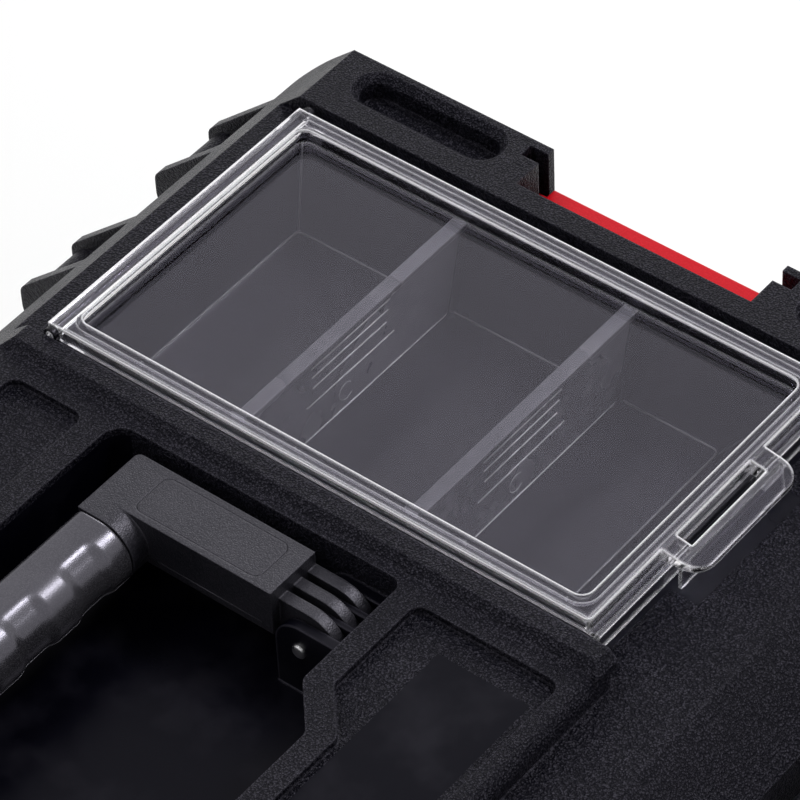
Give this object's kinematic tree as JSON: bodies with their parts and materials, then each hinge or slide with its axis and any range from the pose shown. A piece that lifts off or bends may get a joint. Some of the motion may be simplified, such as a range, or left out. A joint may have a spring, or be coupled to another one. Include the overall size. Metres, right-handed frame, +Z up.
{
  "type": "tool organizer case",
  "caption": "Stackable black tool case with a hinged lid, a folding carry handle sunk in the lid and clear-covered parts organizers beside it.",
  "frame": {"origin": "on the ground under the middle of the case's bounding box, with the lid shut", "axes": "+X along the case to the right as seen from the latches, +Y to the hinge side, +Z up"},
  "size_m": [0.53, 0.325, 0.223],
  "materials": {
    "shell_black": "moulded pebble grain",
    "tray_black": "smooth moulded",
    "divider_frosted": "smoky translucent",
    "cover_clear": "clear plastic",
    "handle_black": "satin moulded",
    "cap_black": "satin moulded",
    "grip_rubber": "soft overmould",
    "latch_black": "fine moulded grain",
    "clip_red": "satin red",
    "steel": "turned, zinc plated",
    "foot_rubber": "plain"
  },
  "bodies": {
    "base": {"base_tub": "shell_black", "foot_rear_right": "foot_rubber", "foot_rear_left": "foot_rubber", "foot_front_right": "foot_rubber", "foot_front_left": "foot_rubber", "hinge_rod_right": "steel", "hinge_rod_left": "steel"},
    "lid": {"lid_shell": "shell_black", "organizer_tray_right": "tray_black", "organizer_tray_left": "tray_black", "divider_rear_right": "divider_frosted", "divider_rear_left": "divider_frosted", "divider_front_right": "divider_frosted", "divider_front_left": "divider_frosted", "handle_pin_right": "steel", "handle_pin_left": "steel", "latch_pin_right": "steel", "latch_pin_left": "steel"},
    "handle": {"handle_frame": "handle_black", "handle_grip": "grip_rubber", "handle_arm_cap_right": "cap_black", "handle_arm_cap_left": "cap_black"},
    "cover_right": {"organizer_cover_right": "cover_clear"},
    "cover_left": {"organizer_cover_left": "cover_clear"},
    "latch_right": {"latch_lever_right": "latch_black"},
    "latch_left": {"latch_lever_left": "latch_black"},
    "clip_right": {"side_clip_right": "clip_red"},
    "clip_left": {"side_clip_left": "clip_red"}
  },
  "joints": [
    {"name": "lid_hinge", "type": "hinge", "parent": "base", "child": "lid", "pos_m": [0, 0.1515, 0.176], "axis": [-1, 0, 0], "range_deg": [0, 100]},
    {"name": "handle_swing", "type": "hinge", "parent": "lid", "child": "handle", "pos_m": [0, -0.013, 0.199], "axis": [1, 0, 0], "range_deg": [0, 90]},
    {"name": "cover_hinge_right", "type": "hinge", "parent": "lid", "child": "cover_right", "pos_m": [0.17485, 0.1126, 0.2206], "axis": [-1, 0, 0], "range_deg": [0, 110]},
    {"name": "cover_hinge_left", "type": "hinge", "parent": "lid", "child": "cover_left", "pos_m": [-0.17485, 0.1126, 0.2206], "axis": [-1, 0, 0], "range_deg": [0, 110]},
    {"name": "latch_hinge_right", "type": "hinge", "parent": "lid", "child": "latch_right", "pos_m": [0.15, -0.1555, 0.182], "axis": [-1, 0, 0], "range_deg": [0, 120]},
    {"name": "latch_hinge_left", "type": "hinge", "parent": "lid", "child": "latch_left", "pos_m": [-0.15, -0.1555, 0.182], "axis": [-1, 0, 0], "range_deg": [0, 120]},
    {"name": "clip_hinge_right", "type": "hinge", "parent": "lid", "child": "clip_right", "pos_m": [0.2597, -0.00375, 0.2037], "axis": [0, -1, 0], "range_deg": [0, 170]},
    {"name": "clip_hinge_left", "type": "hinge", "parent": "lid", "child": "clip_left", "pos_m": [-0.2597, -0.00375, 0.2037], "axis": [0, 1, 0], "range_deg": [0, 170]}
  ]
}
